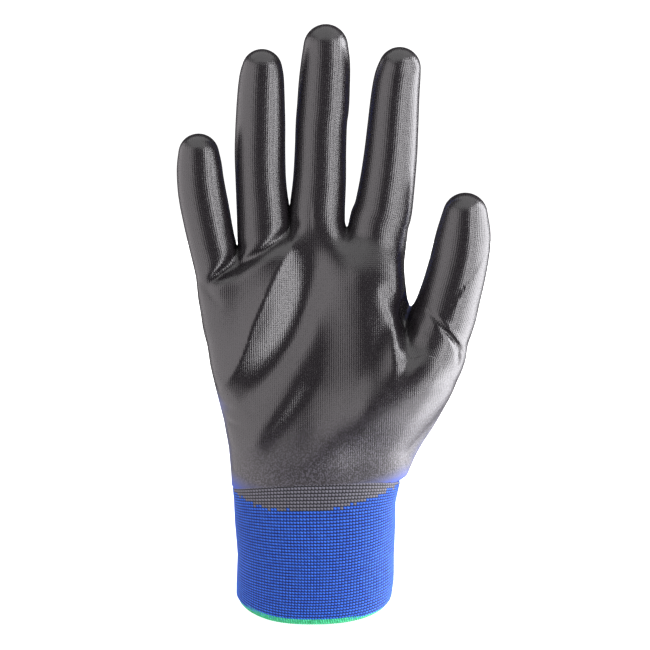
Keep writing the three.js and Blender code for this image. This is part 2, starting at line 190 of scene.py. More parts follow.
def dense(rows, per=4):
    """Catmull-Rom through the rows, per points to a span."""
    rows = np.asarray(rows, float)
    ends = np.vstack([2 * rows[0] - rows[1], rows, 2 * rows[-1] - rows[-2]])
    out = []
    for i in range(1, len(ends) - 2):
        p0, p1, p2, p3 = ends[i - 1:i + 3]
        for t in np.arange(per) / per:
            out.append(0.5 * (2 * p1 + (p2 - p0) * t + (2 * p0 - 5 * p1 + 4 * p2 - p3) * t * t
                              + (3 * p1 - p0 - 3 * p2 + p3) * t ** 3))
    return np.array(out + [rows[-1]])


LINES = {name: dense(rows, 8 if name == "thumb" else 4) for name, rows in DIGITS.items()}


def line_point(line, z):
    """The point of a digit's centre line at a height."""
    return np.array([np.interp(z, line[:, 2], line[:, i]) for i in range(3)])


def section(z):
    """The palm and cuff's rounded section at a height: centre x, half width, half depth, power."""
    z = np.asarray(z, float)
    left, right, deep, power = (np.interp(z, BODY[:, 0], BODY[:, k]) for k in range(1, 5))
    return (left + right) / 2, (right - left) / 2, deep, power


def digit_distance(x, y, z, line, facet=None):
    """Distance from points to a digit's surface; facet flattens it where it faces that way."""
    best = np.full(np.broadcast(x, y, z).shape, FAR, np.float32)
    for a, b in zip(line, line[1:]):
        d = b[:3] - a[:3]
        d[1] /= DEPTH
        px, py, pz = x - a[0], (y - a[1]) / DEPTH, z - a[2]
        t = np.clip((px * d[0] + py * d[1] + pz * d[2]) / (d @ d), 0.0, 1.0)
        px, py, pz = px - t * d[0], py - t * d[1], pz - t * d[2]
        radius = a[3] + t * (b[3] - a[3])
        own = np.sqrt(px * px + py * py + pz * pz) - radius
        if facet:
            way = math.radians(facet)
            flat = px * math.sin(way) - py * math.cos(way) - FACET * radius
            own = -soft_min(-own, -flat, FACET_ROUND)
        np.minimum(best, own, out=best)
    return best


def palm_distance(x, y, z):
    """Distance from points to the palm's surface without digits or folds."""
    cx, a, b, p = section(z)
    u = np.abs((x - cx) / a) + 1e-6
    v = np.abs(y / b) + 1e-6
    n = (u ** p + v ** p) ** (1 / p)
    slope = np.sqrt((u ** (p - 1) / a) ** 2 + (v ** (p - 1) / b) ** 2) / n ** (p - 1)
    around = (n - 1) / slope
    top = (z - np.interp(x, PALM_TOP[:, 0], PALM_TOP[:, 1])) * 0.9
    return -soft_min(-around, -top, PALM_TOP_ROUND)


def fold_field(x, z, folds):
    """How far the surface is pushed in by the folds, over a grid of x and z."""
    total = np.zeros(np.broadcast(x, z).shape)
    for points, deep, wide, *power in folds:
        points = dense(points)
        lengths = np.r_[0, np.cumsum(np.hypot(*np.diff(points, axis=0).T))]
        nearest = np.full(total.shape, 1e9)
        along = np.zeros(total.shape)
        right = np.zeros(total.shape, bool)
        for i in range(len(points) - 1):
            (ax, az), (bx, bz) = points[i], points[i + 1]
            dx, dz = bx - ax, bz - az
            t = np.clip(((x - ax) * dx + (z - az) * dz) / (dx * dx + dz * dz), 0, 1)
            d = np.hypot(x - ax - t * dx, z - az - t * dz)
            near = d < nearest
            nearest = np.where(near, d, nearest)
            right = np.where(near, (x - ax) * dz < (z - az) * dx, right)
            share = (lengths[i] + t * (lengths[i + 1] - lengths[i])) / lengths[-1]
            along = np.where(near, share, along)
        fade = np.sqrt(np.clip(np.sin(np.pi * np.clip(along, 0.04, 0.96)), 0, 1))  # dies out at the ends
        left_width, right_width = wide if isinstance(wide, tuple) else (wide, wide)
        width = np.where(right, right_width, left_width)
        total += deep * fade * np.exp(-(nearest / width) ** (power[0] if power else 2))
    return total


def palm_swell(x, z):
    """How far the palm's front stands out toward the thumb, less the hollow at the heel."""
    high = smooth(z, 100, 120)  # 0 at the heel, 1 beside the thumb's root and above it
    start, end = (np.interp(z, RISE_SLOPE[:, 0], RISE_SLOPE[:, k]) for k in (1, 2))
    rise = RISE * smooth(x, start, end) * smooth(z, 64, 96)
    rise = (rise + 0.6 * high * smooth(x, 16, 32)) * (1 - smooth(z, 146, 168))
    rise = rise * (1 - high * smooth(x, 32, 39.5)) * (1 - (1 - high) * smooth(x, 19, 52))
    heel = HEEL_HOLLOW * smooth(x, -8, 30) * smooth(z, 60, 74) * (1 - smooth(z, 72, 100))
    return rise - heel


def hand_grid():
    """The hand's distance field on a grid. Each digit is worked out only in the box round it."""
    count = np.ceil((GRID_HIGH - GRID_LOW) / VOXEL).astype(int) + 1
    x = (GRID_LOW[0] + VOXEL * np.arange(count[0])).astype(np.float32)[:, None, None]
    y = (GRID_LOW[1] + VOXEL * np.arange(count[1])).astype(np.float32)[None, :, None]
    z = (GRID_LOW[2] + VOXEL * np.arange(count[2])).astype(np.float32)[None, None, :]
    fingers = np.full(tuple(count), FAR, np.float32)
    for name in DIGITS:
        line = LINES[name]
        reach = line[:, 3].max() + THUMB_WEB
        box = []
        for k in range(3):
            first = int((line[:, k].min() - reach - GRID_LOW[k]) / VOXEL)
            last = int((line[:, k].max() + reach - GRID_LOW[k]) / VOXEL) + 1
            box.append(slice(max(first, 0), min(last, count[k])))
        box = tuple(box)
        own = digit_distance(x[box[0]], y[:, box[1]], z[:, :, box[2]], line, FACETS.get(name))
        if name == "thumb":
            thumb = np.full(tuple(count), FAR, np.float32)
            thumb[box] = own
        else:
            fingers[box] = soft_min(fingers[box], own, BETWEEN_FINGERS)
    palm = palm_distance(x, y, z).astype(np.float32)
    field = soft_min(palm, fingers, FINGER_WEB)
    field = soft_min(field, thumb, THUMB_WEB)
    front = fold_field(x[:, 0], z[:, 0], FOLDS)[:, None, :]
    back = fold_field(x[:, 0], z[:, 0], BACK_FOLDS)[:, None, :]
    field = field - smooth(-y, 4, 10) * palm_swell(x, z)
    no_folds_at_wrist = smooth(z, 62, 74)
    field = field + no_folds_at_wrist * (front * smooth(-y, 1, 8) + back * smooth(y, 1, 8))
    return np.clip(field, -GRID_BAND, GRID_BAND).astype(np.float32)


def surface(field):
    """The field's zero surface: points in millimetres and quads."""
    grid = openvdb.FloatGrid(GRID_BAND)
    grid.copyFromArray(field)
    points, quads = grid.convertToQuads(0.0)
    return np.asarray(points, float) * VOXEL + GRID_LOW, np.asarray(quads, int)


def vertex_normals(points, quads):
    """Unit normals, each the mean of the faces round its point."""
    a, b, c, d = (points[quads[:, k]] for k in range(4))
    n = np.cross(c - a, d - b)
    out = np.zeros_like(points)
    for k in range(4):
        np.add.at(out, quads[:, k], n)
    return out / np.maximum(np.linalg.norm(out, axis=1, keepdims=True), 1e-12)


# ---- where a point is on the glove -------------------------------------------------------

def on_digit(points, name):
    """Each point's distance to a digit's surface, and where it is along, across and behind its line."""
    line = LINES[name]
    best = np.full(len(points), 1e9)
    along, across, deep = (np.zeros(len(points)) for _ in range(3))
    run = 0.0
    for a, b in zip(line, line[1:]):
        d = b[:3] - a[:3]
        size = np.linalg.norm(d)
        d = d / size
        q = points - a[:3]
        t = np.clip(q @ d / size, 0, 1)
        off = q - t[:, None] * size * d
        gap = np.hypot(np.hypot(off[:, 0], off[:, 2]), off[:, 1] / DEPTH) - (a[3] + t * (b[3] - a[3]))
        near = gap < best
        side = np.cross([0, 1, 0], d)
        side /= np.linalg.norm(side)
        back = np.cross(d, side)
        best = np.where(near, gap, best)
        along = np.where(near, run + q @ d, along)
        across = np.where(near, off @ side, across)
        deep = np.where(near, off @ back, deep)
        run += size
    return best, along, across, deep, run


def dip_height(x):
    """Height where the film ends across the front of the wrist."""
    return np.interp(x, DIP_LINE[:, 0], DIP_LINE[:, 1])


def rib_top(cosine, sine):
    """Height of the cuff's last course: cosine is 1 on the thumb's side, sine is -1 in front."""
    return RIB_TOP + RIB_TILT * cosine + RIB_LIFT * np.clip(-sine, 0, 1) ** 1.5


def wander(a, b):
    """A slow waver for edges that a dip leaves, in about -1 to 1."""
    return (np.sin(0.31 * a + 1.3) * 0.5 + np.sin(0.83 * a + 0.7 * b) * 0.3 + np.sin(1.9 * a + 4.1) * 0.2)


def film_field(points, region, coords):
    """How far inside the film's outline a point is, in millimetres; less than 0 is bare knit."""
    x, y, z = points.T
    back = np.interp(z, [54, 62, 80], [0.0, 2.0, FILM_BACK])
    phi = back + 0.7 * wander(z, x) - y
    for k, name in enumerate(DIGITS):
        _, along, across, deep, run = coords[name]
        own = FILM_BACK + 0.6 * wander(z, 3.0 * k) - deep
        tip = along - (run - TIP_WRAP + LINES[name][-1, 3]) + 0.5 * wander(across * 1.4, k)
        own = -soft_min(-own, -tip, 7.0)
        blend = smooth(z, 105, 127) if name == "thumb" else smooth(z, SEAMS[name][0] - 8, SEAMS[name][0])
        phi = np.where(region == k, phi + (own - phi) * blend, phi)
    return np.minimum(phi, z - dip_height(x))


# ---- the knit's own coordinates ----------------------------------------------------------

FINE = np.linspace(0, math.pi / 2, 400)


def arc_table(ratio, power):
    """Along a rounded quarter section from its middle: x, and the arc length there, for half width 1."""
    x, y = np.sin(FINE) ** (2 / power), ratio * np.cos(FINE) ** (2 / power)
    return x, np.r_[0, np.cumsum(np.hypot(np.diff(x), np.diff(y)))]


PALM_ARC, DIGIT_ARC = arc_table(0.42, 2.35), arc_table(DEPTH, 2.0)
# The right edge of the hand with the thumb's ball: height and x.
RIGHT_EDGE = np.array([(56, 37.5), (66, 43.5), (78, 49), (90, 56), (102, 61), (116, 64), (120, 64),
                       (134, 38.5)])


def arc(table, share):
    """Arc length from the middle of a section to a share of its half width."""
    return np.sign(share) * np.interp(np.abs(share), *table)


def palm_u(x, z):
    """Where a point of the palm is across the fine knit, as millimetres along its section."""
    left = np.interp(z, BODY[:, 0], BODY[:, 1]) - 4.0 * smooth(z, 118, 152)
    right = np.interp(z, RIGHT_EDGE[:, 0], RIGHT_EDGE[:, 1])
    half = np.where(x < 0, -left, right)
    return arc(PALM_ARC, np.clip(x / half, -1, 1)) * half


def knit_coordinates(points, region, coords):
    """Where each point is in the fine knit, in millimetres across and up, the same in front and behind.
    The palm's columns carry on into each digit."""
    x, _, z = points.T
    u, v = palm_u(x, z), z.copy()
    for k, name in enumerate(DIGITS):
        _, along, across, _, _ = coords[name]
        line, start = LINES[name], SEAMS[name][0]
        spans = np.linalg.norm(np.diff(line[:, :3], axis=0), axis=1)
        first = np.interp(start, line[:, 2], np.r_[0, np.cumsum(spans)])
        half = np.interp(z, line[:, 2], line[:, 3])
        root_u = palm_u(line_point(line, start)[0], start)
        own_u = arc(DIGIT_ARC, np.clip(across / half, -1, 1)) * half + root_u
        own_v = along - first + start
        weight = smooth(z, start - (22 if name == "thumb" else 14), start - 1) * (region == k)
        u += (own_u - u) * weight
        v += (own_v - v) * weight
    return u, v


# ---- meshes ------------------------------------------------------------------------------

def add_object(name, data):
    """An object with this data, in the scene."""
    made = bpy.data.objects.new(name, data)
    bpy.context.scene.collection.objects.link(made)
    return made


def make_object(name, points, faces, uv=None, normals=None, **attributes):
    """A smooth mesh object. points are millimetres; uv is one pair per face corner."""
    mesh = bpy.data.meshes.new(name)
    faces = np.asarray(faces, int)
    sides = faces.shape[1]
    mesh.vertices.add(len(points))
    mesh.vertices.foreach_set("co", (np.asarray(points) * MM).astype(np.float32).ravel())
    mesh.loops.add(faces.size)
    mesh.loops.foreach_set("vertex_index", faces.ravel().astype(np.int32))
    mesh.polygons.add(len(faces))
    mesh.polygons.foreach_set("loop_start", np.arange(0, faces.size, sides, dtype=np.int32))
    mesh.polygons.foreach_set("use_smooth", np.ones(len(faces), bool))
    if uv is not None:
        layer = mesh.uv_layers.new(name="knit")
        layer.data.foreach_set("uv", np.asarray(uv, np.float32).ravel())
    for key, values in attributes.items():
        mesh.attributes.new(key, "FLOAT", "POINT").data.foreach_set("value", np.asarray(values, np.float32))
    mesh.update(calc_edges=True)
    mesh.validate()
    if normals is not None:
        mesh.normals_split_custom_set_from_vertices(normals.tolist())
    return add_object(name, mesh)


def part_of(points, quads, chosen):
    """The chosen faces on their own: their points, their faces, and which points those are."""
    faces = quads[chosen]
    used, inverse = np.unique(faces, return_inverse=True)
    return points[used], inverse.reshape(faces.shape), used


def ring_grid(rows, columns, flip=False):
    """Faces of a closed band of rows x columns points."""
    r, c = np.meshgrid(np.arange(rows - 1), np.arange(columns), indexing="ij")
    n = (c + 1) % columns
    quads = np.stack([r * columns + c, r * columns + n, (r + 1) * columns + n, (r + 1) * columns + c], -1)
    quads = quads.reshape(-1, 4)
    return quads[:, ::-1] if flip else quads


def unwrap(u, faces, total):
    """u at face corners, carried over the seam of a pattern that repeats every total."""
    corner = u[faces]
    wide = (corner.max(1) - corner.min(1)) > total / 2
    corner[wide] = np.where(corner[wide] < total / 2, corner[wide] + total, corner[wide])
    return corner


# ---- materials ---------------------------------------------------------------------------

class Nodes:
    """Short names for building a node tree."""

    def __init__(self, name):
        self.material = bpy.data.materials.new(name)
        self.material.use_nodes = True
        self.tree = self.material.node_tree
        self.shader = self.tree.nodes["Principled BSDF"]

    def add(self, kind, **settings):
        node = self.tree.nodes.new("ShaderNode" + kind)
        for key, value in settings.items():
            setattr(node, key, value)
        return node

    def link(self, source, target):
        self.tree.links.new(source, target)

    def feed(self, value, socket):
        if isinstance(value, bpy.types.NodeSocket):
            self.link(value, socket)
        else:
            socket.default_value = value

    def math(self, operation, a, b=0.0, clamp=False):
        node = self.add("Math", operation=operation, use_clamp=clamp)
        for value, socket in zip((a, b), node.inputs):
            self.feed(value, socket)
        return node.outputs[0]

    def off_middle(self, share):
        """How far a share is from one half."""
        return self.math("ABSOLUTE", self.math("SUBTRACT", share, 0.5))

    def attribute(self, name):
        return self.add("Attribute", attribute_name=name).outputs["Fac"]

    def uv(self):
        node = self.add("UVMap", uv_map="knit")
        split = self.add("SeparateXYZ")
        self.link(node.outputs[0], split.inputs[0])
        return split.outputs[0], split.outputs[1]

    def mix(self, share, a, b):
        node = self.add("Mix", data_type="RGBA")
        self.feed(share, node.inputs["Factor"])
        self.feed(a, node.inputs[6])
        self.feed(b, node.inputs[7])
        return node.outputs[2]

    def step(self, value, low, high):
        node = self.add("MapRange", interpolation_type="SMOOTHSTEP")
        self.feed(value, node.inputs["Value"])
        node.inputs["From Min"].default_value = low
        node.inputs["From Max"].default_value = high
        return node.outputs["Result"]

    def noise(self, scale, detail):
        node = self.add("TexNoise")
        node.inputs["Scale"].default_value = scale
        node.inputs["Detail"].default_value = detail
        self.link(self.add("TexCoord").outputs["Object"], node.inputs["Vector"])
        return node.outputs["Fac"]

    def bump(self, height, distance, strength):
        """Gives the shader a relief of this height."""
        node = self.add("Bump")
        node.inputs["Strength"].default_value = strength
        node.inputs["Distance"].default_value = distance
        self.link(height, node.inputs["Height"])
        self.link(node.outputs[0], self.shader.inputs["Normal"])

    def paint(self, source):
        self.link(source, self.shader.inputs["Base Color"])

    def set(self, **values):
        """Sets the shader's own sockets; an underscore stands for a space in a socket's name."""
        for socket, value in values.items():
            self.shader.inputs[socket.replace("_", " ")].default_value = value


def colour(hexcode):
    """A linear colour from an sRGB hex code."""
    parts = [int(hexcode[i:i + 2], 16) / 255 for i in (0, 2, 4)]
    return tuple(p / 12.92 if p <= 0.04045 else ((p + 0.055) / 1.055) ** 2.4 for p in parts) + (1.0,)


def stitch_height(n):
    """A plain knit's relief: columns of V shaped stitches. Also gives how far a point is from the
    middle of its column, and its place in the row as a wave."""
    u, v = n.uv()
    across = n.math("FRACT", n.math("DIVIDE", u, WALE))
    centre = n.off_middle(across)  # 0 mid column, 0.5 between two
    column = n.math("COSINE", n.math("MULTIPLY", centre, 2 * math.pi))
    lean = n.math("MULTIPLY", centre, 1.3)
    turns = n.math("ADD", n.math("DIVIDE", v, COURSE), lean)
    row = n.math("SINE", n.math("MULTIPLY", turns, 2 * math.pi))
    height = n.math("ADD", n.math("MULTIPLY", column, 0.5), n.math("MULTIPLY", row, 0.32))
    return height, centre, row


def film_material():
    """Polyurethane: smooth over the knit's relief with pores, grainy and thin round the heel. The pores are
    painted darker as painted shade, and the raised grain near the heel is painted lighter as painted glints.
    """
    n = Nodes("dipped_film")
    height, centre, _ = stitch_height(n)
    pores = n.noise(3000.0, 1.0)
    broad = n.noise(160.0, 3.0)
    ditch = n.math("MULTIPLY", n.step(centre, 0.2, 0.5), 0.2)  # more pores lie between the columns
    pit = n.math("SUBTRACT", 1.0, n.step(n.math("SUBTRACT", pores, ditch), 0.26, 0.40))
    total = n.math("SUBTRACT", height, n.math("MULTIPLY", pit, 0.35))
    grain = n.noise(1500.0, 2.0)
    coarse = n.attribute("coarse")
    raised = n.math("MULTIPLY", n.math("MULTIPLY", grain, coarse), 5.0)
    n.bump(n.math("ADD", total, raised), 0.00003, 0.8)
    thin = n.attribute("thin")  # 0 where the film is full, 1 where the blue yarn shows through
    thin = n.math("MULTIPLY", thin, n.math("ADD", 0.75, n.math("MULTIPLY", broad, 0.4)), clamp=True)
    black = n.mix(n.step(broad, 0.3, 0.8), colour("1f1b1f"), colour("252125"))
    # The pores are painted darker: painted shade in the pits.
    black = n.mix(n.math("MULTIPLY", pit, 0.5), black, colour("0c0a0c"))
    # The raised grain near the heel is painted lighter grey: painted glints on the grain.
    grain_glints = n.math("MULTIPLY", n.step(grain, 0.42, 0.64), n.math("MULTIPLY", coarse, 0.6))
    black = n.mix(grain_glints, black, colour("6c6874"))
    tinted = n.mix(n.step(thin, 0.0, 0.6), black, colour("4c5284"))
    n.paint(n.mix(n.step(thin, 0.45, 1.0), tinted, colour("3d58bc")))
    rough = n.math("ADD", n.math("MULTIPLY", coarse, 0.2), 0.22)
    rough = n.math("ADD", rough, n.math("MULTIPLY", pit, 0.2))
    rough = n.math("ADD", rough, n.math("MULTIPLY", thin, 0.45), clamp=True)
    n.link(rough, n.shader.inputs["Roughness"])
    n.set(Specular_IOR_Level=1.0)
    return n.material


def knit_material():
    """The liner's fine plain knit: blue yarn, with painted shade in the gaps between columns and in the low
    of each row, more so at random flecks.
    """
    n = Nodes("liner_knit")
    height, centre, row = stitch_height(n)
    fuzz = n.noise(3800.0, 2.0)
    n.bump(n.math("ADD", height, n.math("MULTIPLY", fuzz, 0.6)), 0.00016, 1.0)
    # Painted shade: the gaps between columns and the low of each row are painted darker, more so at random
    # flecks.
    gap = n.step(centre, 0.26, 0.5)
    low = n.math("SUBTRACT", 1.0, n.step(row, -0.9, 0.1))
    fleck = n.step(n.noise(520.0, 1.0), 0.5, 0.62)
    low = n.math("MULTIPLY", low, n.math("ADD", 0.35, fleck))
    dark = n.math("MAXIMUM", n.math("MULTIPLY", gap, 0.75), low, clamp=True)
    yarn = n.mix(n.noise(1400.0, 1.0), colour("1c3fae"), colour("3a66dd"))
    n.paint(n.mix(dark, yarn, colour("101a48")))
    n.set(Roughness=0.78, Specular_IOR_Level=0.3, Sheen_Weight=0.25, Sheen_Roughness=0.4)
    return n.material


def rib_material(name, yarn_low, yarn_high, gap_shade_colour, rough):
    """The cuff's stitches: pale beads of yarn, painted near black between the courses and columns as painted
    shade, and painted lighter at each stitch's upper right as a painted highlight.
    """
    n = Nodes(name)
    u, v = n.uv()  # in stitches
    fu = n.math("FRACT", u)
    fv = n.math("FRACT", v)
    across = n.off_middle(fu)
    lean = n.math("ADD", fv, n.math("MULTIPLY", n.math("SUBTRACT", fu, 0.5), 0.22))
    up = n.off_middle(lean)
    # Painted shade: the gaps between courses and between columns are painted near black.
    between_rows = n.step(up, 0.25, 0.38)
    between_columns = n.math("MULTIPLY", n.step(across, 0.32, 0.46), 0.92)
    dark = n.math("MAXIMUM", between_rows, between_columns)
    cell = n.add("CombineXYZ")
    n.link(n.math("FLOOR", u), cell.inputs[0])
    n.link(n.math("FLOOR", v), cell.inputs[1])
    each = n.add("TexWhiteNoise", noise_dimensions="2D")
    n.link(cell.outputs[0], each.inputs["Vector"])
    fibre = n.noise(2500.0, 2.0)
    lit = n.math("MULTIPLY", n.math("ADD", fu, fv), 0.5)  # a stitch is painted lighter at its upper right: a painted highlight
    tone = n.math("ADD", n.math("MULTIPLY", each.outputs["Value"], 0.3), n.math("MULTIPLY", fibre, 0.25))
    tone = n.math("ADD", tone, n.math("MULTIPLY", n.step(lit, 0.2, 0.7), 0.7), clamp=True)
    yarn = n.mix(tone, colour(yarn_low), colour(yarn_high))
    n.paint(n.mix(n.math("MULTIPLY", dark, 0.95), yarn, colour(gap_shade_colour)))
    n.bump(fibre, 0.00012, 0.8)
    n.set(Roughness=rough, Specular_IOR_Level=0.35, Sheen_Weight=0.05, Sheen_Roughness=0.4)
    return n.material


def thread_material(name, low, high, rough, between_wraps=None):
    """Fibrous thread; between_wraps is the darker colour painted between one wrap and the next: painted
    shade in the grooves.
    """
    n = Nodes(name)
    fibre = n.noise(1800.0, 3.0)
    yarn = n.mix(n.step(fibre, 0.3, 0.7), colour(low), colour(high))
    if between_wraps:
        u, _ = n.uv()  # in wraps
        # Painted shade: the groove between one wrap and the next is painted darker.
        between = n.step(n.off_middle(n.math("FRACT", u)), 0.25, 0.5)
        yarn = n.mix(n.math("MULTIPLY", between, 0.8), yarn, colour(between_wraps))
    n.paint(yarn)
    n.bump(fibre, 0.0001, 0.8)
    n.set(Roughness=rough, Sheen_Weight=0.2)
    return n.material


FILM = film_material()
KNIT = knit_material()
RIB = rib_material("cuff_rib_knit", "072ea4", "3d7af4", "040618", 0.75)
RIB_FILM = rib_material("wrist_rib_film", "4a494f", "7f7e8a", "050506", 0.5)
HEM = thread_material("hem_thread", "13ae6a", "56f0ae", 0.7, between_wraps="04592f")
ELASTIC = thread_material("elastic_yarn", "2a2a30", "4a4a55", 0.6)


def dress(piece, material):
    """Gives a piece its material."""
    piece.data.materials.append(material)
    return piece


def on_wrist(piece):
    """Bakes a piece's placement into its mesh."""
    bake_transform(piece)


# ---- hand: film and liner ----------------------------------------------------------------

def piece_numbers(points, region, near):
    """Which piece each point belongs to: 0 is the palm, digit k's pieces are 1 + 3k, 2 + 3k, 3 + 3k."""
    numbers = np.zeros(len(points), int)
    for k, name in enumerate(DIGITS):
        line = LINES[name]
        for step, z in enumerate(SEAMS[name]):
            spot = line_point(line, z)
            i = min(np.searchsorted(line[:, 2], spot[2]), len(line) - 1)
            way = line[i, :3] - line[i - 1, :3]
            way /= np.linalg.norm(way)
            beyond = (points - spot) @ way > 0
            numbers[(region == k) & near & beyond] = 1 + 3 * k + step
    return numbers


def cuff_edge_height(points):
    """Height of the cuff's last course on the side that each point is on."""
    cx, half, deep, power = section(points[:, 2])
    cosine = np.sign(points[:, 0] - cx) * np.clip(np.abs(points[:, 0] - cx) / half, 0, 1) ** (power / 2)
    sine = np.sign(points[:, 1]) * np.clip(np.abs(points[:, 1]) / deep, 0, 1) ** (power / 2)
    return rib_top(cosine, sine)


def bend_with(piece):
    """Bakes a digit's piece's placement into its mesh."""
    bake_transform(piece)


points, quads = surface(hand_grid())
normals = vertex_normals(points, quads)
heights = points[:, 2]

coords = {name: on_digit(points, name) for name in DIGITS}
gaps = np.stack([coords[name][0] for name in DIGITS])
region = gaps.argmin(0)
near = gaps.min(0) < NEAR_DIGIT
# A face goes with most of its points.
face_piece = np.sort(piece_numbers(points, region, near)[quads], axis=1)[:, 2]
region = np.where(near, region, -1)  # -1 is the palm

phi = film_field(points, region, coords)
low_palm = 1 - smooth(heights, 88, 118)  # the film is thin round the heel of the hand
coarse = 1 - smooth(heights - 0.35 * points[:, 0], 60, 98)  # and grainier
thin = (1 - smooth(phi, 0, 3.0 + 9.0 * low_palm)) * (0.6 + 0.4 * low_palm)
knit_u, knit_v = knit_coordinates(points, region, coords)

edge = cuff_edge_height(points)
keep = (heights - edge)[quads].min(1) > -IN_CUFF
tuck = smooth(edge + 0.6 - heights, 0, 2.0) * 0.7  # the film goes in behind the cuff's last course
overhang = smooth(points[:, 0], 14, 31) * smooth(-points[:, 1], -6, 4)  # the heel stands out over the cuff
tuck = tuck + 1.7 * overhang * smooth(edge + 3.6 - heights, 0, 4.4)
# The film thins to nothing at its outline and dives under the knit, which lies just below it.
film_points = points + normals * (np.clip(0.5 * phi, -0.45, FILM_THICK) - tuck)[:, None]
knit_points = points - normals * (0.05 + tuck)[:, None]
wet = phi[quads].max(1) > -0.8
dry = phi[quads].min(1) < 3.0  # the liner is left out where the film hides it, but not in the palm


def hand_piece(label, skin, picked, material):
    """One piece of the hand's surface."""
    own, faces, used = part_of(skin, quads, picked)
    uv = np.stack([knit_u[used], knit_v[used]], -1)[faces]
    piece = make_object(label, own, faces, uv, normals[used], thin=thin[used], coarse=coarse[used])
    return dress(piece, material)


own = (face_piece == 0) & keep
film = hand_piece("palm_film", film_points, own & wet, FILM)
on_wrist(film)
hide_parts("palm_coating")
knit = hand_piece("palm_knit", knit_points, own, KNIT)
on_wrist(knit)
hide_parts("palm_liner")

for k, name in enumerate(DIGITS):
    for step, segment in enumerate(SEGMENTS[name]):
        body = f"{name}_{segment}"
        own = (face_piece == 1 + 3 * k + step) & keep
        film = hand_piece(f"{body}_film", film_points, own & wet, FILM)
        bend_with(film)
        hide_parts(f"{body}_coating", f"{body}_knuckle")
        knit = hand_piece(f"{body}_knit", knit_points, own & dry, KNIT)
        bend_with(knit)
        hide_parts(f"{body}_liner")


# ---- cuff --------------------------------------------------------------------------------

def round_section(angle, z, inset):
    """Points of the cuff's section: the rounded outline at height z, less an inset."""
    cx, a, b, p = section(z)
    c, s = np.cos(angle), np.sin(angle)
    x = cx + np.sign(c) * np.abs(c) ** (2 / p) * (a - inset)
    y = np.sign(s) * np.abs(s) ** (2 / p) * (b - inset)
    return x, y


def even_angles(count, z=30.0):
    """Angles that space points evenly round the cuff."""
    fine = np.linspace(0, 2 * math.pi, 4001)
    x, y = round_section(fine, np.full(fine.shape, z), 0.0)
    run = np.r_[0, np.cumsum(np.hypot(np.diff(x), np.diff(y)))]
    return np.interp(np.arange(count) / count * run[-1], run, fine)


def hem_lift(angle):
    """How much higher the hem hangs at the sides than in front and behind."""
    return 2.0 * np.abs(np.cos(angle)) ** 2.5 + 2.2 * np.clip(-np.cos(angle), 0, 1) ** 3


# The cuff's outside as a grid of small faces round and up it: each stitch is a raised pillow.
PER_WALE, PER_COURSE = 4, 4  # faces to a stitch
BOW_THUMB_SIDE, BOW_LITTLE_SIDE = 4.0, 1.8
angles = even_angles(RIB_WALE_COUNT * PER_WALE)
A, V = np.meshgrid(angles, np.arange(PER_COURSE, RIB_COURSES * PER_COURSE + 1) / PER_COURSE)
S = V * RIB_TOP / RIB_COURSES  # height along the cuff before it hangs and tilts
U = np.broadcast_to(np.arange(len(angles)) / PER_WALE, A.shape)
thumb_side, little_side, front = (np.clip(way, 0, 1) for way in (np.cos(A), -np.cos(A), -np.sin(A)))
# The courses hang higher at the sides, and most so half way up.
bow = np.sin(math.pi * S / RIB_TOP) * (BOW_THUMB_SIDE * thumb_side ** 2 + BOW_LITTLE_SIDE * little_side ** 2)
Z = (bow + hem_lift(A) * (1 - smooth(S, 0, 16)) + S * (1 + RIB_TILT / RIB_TOP * np.cos(A))
     + RIB_LIFT * front ** 1.5 * (S / RIB_TOP) ** 2.4)
fu, fv = U % 1.0, V % 1.0
lean = (fv + 0.16 * (fu - 0.5)) % 1.0
pillow = np.sin(math.pi * lean) ** 0.8 * (0.45 + 0.55 * np.sin(math.pi * fu) ** 0.7)
slack = 0.28 * np.sin(3 * A + 0.12 * S) * np.exp(-((S - 12) / 14) ** 2)  # soft waves of an empty cuff
slack += 0.18 * np.sin(5 * A - 0.2 * S)
top_tuck = smooth(S, RIB_TOP - 1.6, RIB_TOP) * 0.5
X, Y = round_section(A, Z, 0.25 - RIB_RELIEF * pillow - slack * 0.5 + top_tuck)
rib_points = np.stack([X, Y, Z], -1).reshape(-1, 3)
rows, columns = A.shape
rib_faces = ring_grid(rows, columns)

# A stitch is under the film as a whole. A hash makes the dip line ragged by half a course each way.
course, wale = np.meshgrid(np.arange(rows - 1) // PER_COURSE, np.arange(columns) // PER_WALE, indexing="ij")
middle = course * PER_COURSE + 1, wale * PER_WALE + 2
ragged = np.sin(12.9898 * wale + 78.233 * course) * 43758.5453 % 1.0 - 0.5
dip_line = dip_height(X[middle]) + 0.4 * wander(X[middle], 2.0) + 1.4 * ragged
dipped = ((Z[middle] > dip_line) & (Y[middle] < FILM_BACK)).reshape(-1)

rib_u = unwrap(U.reshape(-1), rib_faces, RIB_WALE_COUNT)
rib_uv = np.stack([rib_u, V.reshape(-1)[rib_faces]], -1)
rib_normals = vertex_normals(rib_points, rib_faces)
for label, picked, material, slot_name, nodes in (
        ("cuff_rib", ~dipped, RIB, "knit_liner", ("cuff_knit", "wrist_knit")),
        ("wrist_rib_film", dipped, RIB_FILM, "palm_film", ("wrist_coating",))):
    own, faces, used = part_of(rib_points, rib_faces, picked)
    piece = make_object(label, own, faces, rib_uv[picked], rib_normals[used])
    on_wrist(dress(piece, material))
    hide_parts(*nodes)

